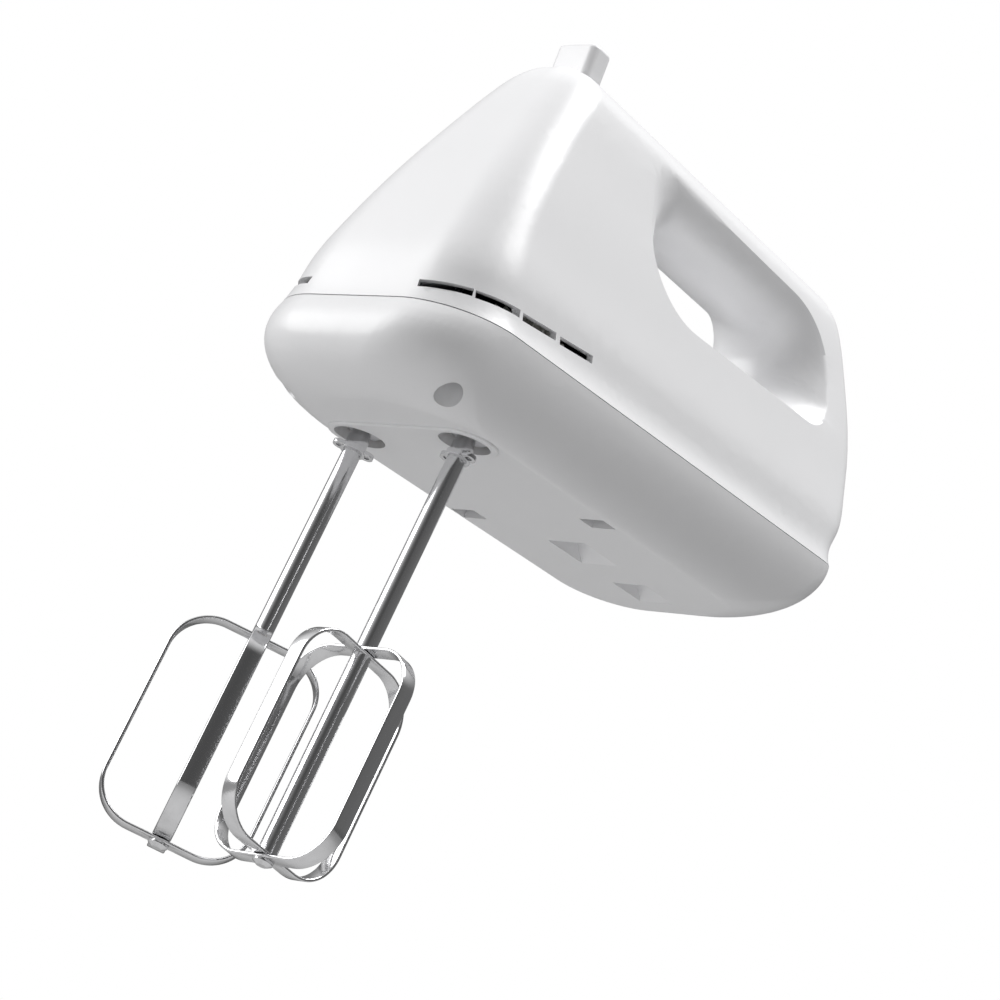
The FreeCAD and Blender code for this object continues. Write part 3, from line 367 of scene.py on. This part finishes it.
def metal(name, colour, roughness, stretch=EVEN_STREAKS, relief=STREAK_RELIEF):
    """Bare or plated metal with fine streaks left by drawing or turning."""
    existing = bpy.data.materials.get(name)
    if existing:
        return existing
    material, nodes, links, shader = new_material(name)
    place = nodes.new("ShaderNodeTexCoord")
    drawn = nodes.new("ShaderNodeMapping")
    drawn.inputs["Scale"].default_value = stretch
    streaks = nodes.new("ShaderNodeTexNoise")
    streaks.inputs["Scale"].default_value = STREAK_SCALE
    streaks.inputs["Detail"].default_value = STREAK_DETAIL
    links.new(place.outputs["Object"], drawn.inputs["Vector"])
    links.new(drawn.outputs["Vector"], streaks.inputs["Vector"])
    vary(nodes, links, shader, streaks.outputs["Fac"], colour, STREAK_DARKER,
         roughness, STREAK_ROUGHER)
    shader.inputs["Metallic"].default_value = 1.0
    bump(nodes, links, streaks.outputs["Fac"], relief, shader)
    return material


# ---------------------------------------------------------------- operators

class MIXER_OT_inside(bpy.types.Operator):
    """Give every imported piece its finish"""

    bl_idname = "mixer.inside"
    bl_label = "Inside Pieces"

    def execute(self, context):
        for entry in frame["record"]["subparts"]:
            slot = entry["material_slot"]
            kind, colour, roughness = PACKED_FINISHES[slot]
            make = metal if kind == "metal" else moulded
            material = make(slot.replace("_", " ").title() + " Inside", colour, roughness)
            set_material(frame["nodes"][entry["node"]], material)
        return {"FINISHED"}


class MIXER_OT_housings(bpy.types.Operator):
    """Build the two white housings"""

    bl_idname = "mixer.housings"
    bl_label = "Housings"

    def execute(self, context):
        look = context.scene.mixer_shell
        white = moulded("White Gloss ABS", tuple(look.colour), roughness=0.38, coat=0.25)
        for node in ("upper_housing", "lower_housing"):
            piece = rounded_copy(node, node + "_skin", look, HOUSING_SMOOTH)
            finish_piece(piece, node, "housing", white)
        return {"FINISHED"}


class MIXER_OT_knob(bpy.types.Operator):
    """Build the speed and eject knob"""

    bl_idname = "mixer.knob"
    bl_label = "Knob"

    def execute(self, context):
        look = context.scene.mixer_shell
        white = moulded("White Satin ABS", tuple(look.colour), roughness=0.36, coat=0.2)
        piece = rounded_copy("speed_knob", "speed_knob_cap", look, KNOB_SMOOTH)
        finish_piece(piece, "speed_knob", "knob", white)
        return {"FINISHED"}


class MIXER_OT_beaters(bpy.types.Operator):
    """Build both beaters"""

    bl_idname = "mixer.beaters"
    bl_label = "Beaters"

    def execute(self, context):
        look = context.scene.mixer_beater
        chrome = metal("Polished Chrome", tuple(look.colour), roughness=0.14,
                       stretch=DRAWN_STREAKS, relief=0.0)
        for side in ("left", "right"):
            for part in ("stem", "collar", "loop_outer", "loop_inner", "rivet"):
                node = f"{side}_beater_{part}"
                if part.startswith("loop"):
                    piece = rounded_copy(node, node + "_plated", look, LOOP_SMOOTH, even=False)
                else:
                    piece = rounded_copy(node, node + "_plated", look, STEM_SMOOTH)
                finish_piece(piece, node, f"{side}_beater", chrome)
        return {"FINISHED"}


class MIXER_OT_studio(bpy.types.Operator):
    """Set up the floor, the room, the lamps and the camera"""

    bl_idname = "mixer.studio"
    bl_label = "Studio"

    def execute(self, context):
        look = context.scene.mixer_studio
        self.add_floor(look)
        self.add_world(context.scene)
        self.add_lamps()
        self.add_camera(context.scene, look)
        return {"FINISHED"}

    def add_floor(self, look):
        bpy.ops.mesh.primitive_plane_add(size=FLOOR_SIZE, location=(0, 0, look.floor_level))
        floor = bpy.context.view_layer.objects.active
        floor.name = "studio_floor"
        material, _, _, shader = new_material("Pale Floor")
        shader.inputs["Base Color"].default_value = (FLOOR_GREY, FLOOR_GREY, FLOOR_GREY, 1)
        shader.inputs["Roughness"].default_value = FLOOR_ROUGHNESS
        floor.data.materials.append(material)

    def add_world(self, scene):
        """White behind the mixer, and a softly banded room for light and reflections."""
        world = bpy.data.worlds.new("Studio Room")
        world.use_nodes = True
        nodes = world.node_tree.nodes
        links = world.node_tree.links
        place = nodes.new("ShaderNodeTexCoord")
        parts = nodes.new("ShaderNodeSeparateXYZ")
        links.new(place.outputs["Generated"], parts.inputs["Vector"])
        room = self.add_walls(nodes, links, parts)
        for start, full, level in ROOM_LAYERS:
            mask = mapped(nodes, links, parts.outputs["Z"], start, full)
            room = self.add_layer(nodes, links, mask, room, level)
        backdrop = nodes["Background"]
        links.new(room, backdrop.inputs["Color"])
        seen = nodes.new("ShaderNodeBackground")
        seen.inputs["Color"].default_value = (1, 1, 1, 1)
        path = nodes.new("ShaderNodeLightPath")
        blend = nodes.new("ShaderNodeMixShader")
        links.new(path.outputs["Is Camera Ray"], blend.inputs["Fac"])
        links.new(backdrop.outputs["Background"], blend.inputs[1])
        links.new(seen.outputs["Background"], blend.inputs[2])
        links.new(blend.outputs["Shader"], nodes["World Output"].inputs["Surface"])
        scene.world = world
        scene.view_settings.view_transform = "Standard"

    def add_walls(self, nodes, links, parts):
        around = nodes.new("ShaderNodeMath")
        around.operation = "ARCTAN2"
        links.new(parts.outputs["Y"], around.inputs[0])
        links.new(parts.outputs["X"], around.inputs[1])
        turn = mapped(nodes, links, around.outputs["Value"], -math.pi, math.pi,
                      interpolation="LINEAR")
        walls = nodes.new("ShaderNodeValToRGB")
        walls.color_ramp.interpolation = "B_SPLINE"
        bands = walls.color_ramp.elements       # a new ramp already has two
        for index, (angle, level) in enumerate(ROOM_BANDS):
            band = bands[index] if index < 2 else bands.new(0.5)
            band.position = (angle + 180) / 360
            band.color = (level, level, level, 1)
        links.new(turn, walls.inputs["Fac"])
        return walls.outputs["Color"]

    def add_layer(self, nodes, links, mask, under, level):
        node = nodes.new("ShaderNodeMix")
        node.data_type = "RGBA"
        node.inputs["B"].default_value = (level, level, level, 1)
        links.new(mask, node.inputs["Factor"])
        links.new(under, node.inputs["A"])
        return node.outputs["Result"]

    def add_lamps(self):
        aim = Vector(LAMP_AIM)
        for name, direction, distance, diameter, power in LAMPS:
            place = aim + Vector(direction).normalized() * distance
            bpy.ops.object.light_add(type="AREA", location=place)
            lamp = bpy.context.view_layer.objects.active
            lamp.name = "lamp_" + name
            lamp.data.shape = "DISK"
            lamp.data.size = diameter
            lamp.data.energy = power
            lamp.rotation_euler = (aim - place).to_track_quat("-Z", "Y").to_euler()

    def add_camera(self, scene, look):
        bpy.ops.object.camera_add(location=tuple(look.camera_place),
                                  rotation=tuple(look.camera_turn))
        camera = bpy.context.view_layer.objects.active
        camera.name = "studio_camera"
        camera.data.sensor_width = SENSOR_WIDTH
        camera.data.lens = look.lens
        scene.camera = camera


# ---------------------------------------------------------------- panel and registration

class MIXER_PT_panel(bpy.types.Panel):
    """Buttons and settings for the hand mixer"""

    bl_label = "Hand Mixer"
    bl_idname = "MIXER_PT_panel"
    bl_space_type = "VIEW_3D"
    bl_region_type = "UI"
    bl_category = "Hand Mixer"

    def draw(self, context):
        layout = self.layout
        scene = context.scene
        for settings in (scene.mixer_shell, scene.mixer_beater, scene.mixer_studio):
            column = layout.column()
            for name in settings.__annotations__:
                column.prop(settings, name)
        for operator in OPERATORS:
            layout.operator(operator.bl_idname)


SETTINGS = (ShellSettings, BeaterSettings, StudioSettings)
OPERATORS = (MIXER_OT_inside, MIXER_OT_housings, MIXER_OT_knob, MIXER_OT_beaters,
             MIXER_OT_studio)
CLASSES = SETTINGS + OPERATORS + (MIXER_PT_panel,)


def register():
    for item in CLASSES:
        bpy.utils.register_class(item)
    bpy.types.Scene.mixer_shell = PointerProperty(type=ShellSettings)
    bpy.types.Scene.mixer_beater = PointerProperty(type=BeaterSettings)
    bpy.types.Scene.mixer_studio = PointerProperty(type=StudioSettings)


def unregister():
    del bpy.types.Scene.mixer_studio
    del bpy.types.Scene.mixer_beater
    del bpy.types.Scene.mixer_shell
    for item in reversed(CLASSES):
        bpy.utils.unregister_class(item)


def main():
    register()
    bpy.ops.mixer.inside()
    bpy.ops.mixer.housings()
    bpy.ops.mixer.knob()
    bpy.ops.mixer.beaters()
    bpy.ops.mixer.studio()


if __name__ == "__main__":
    main()
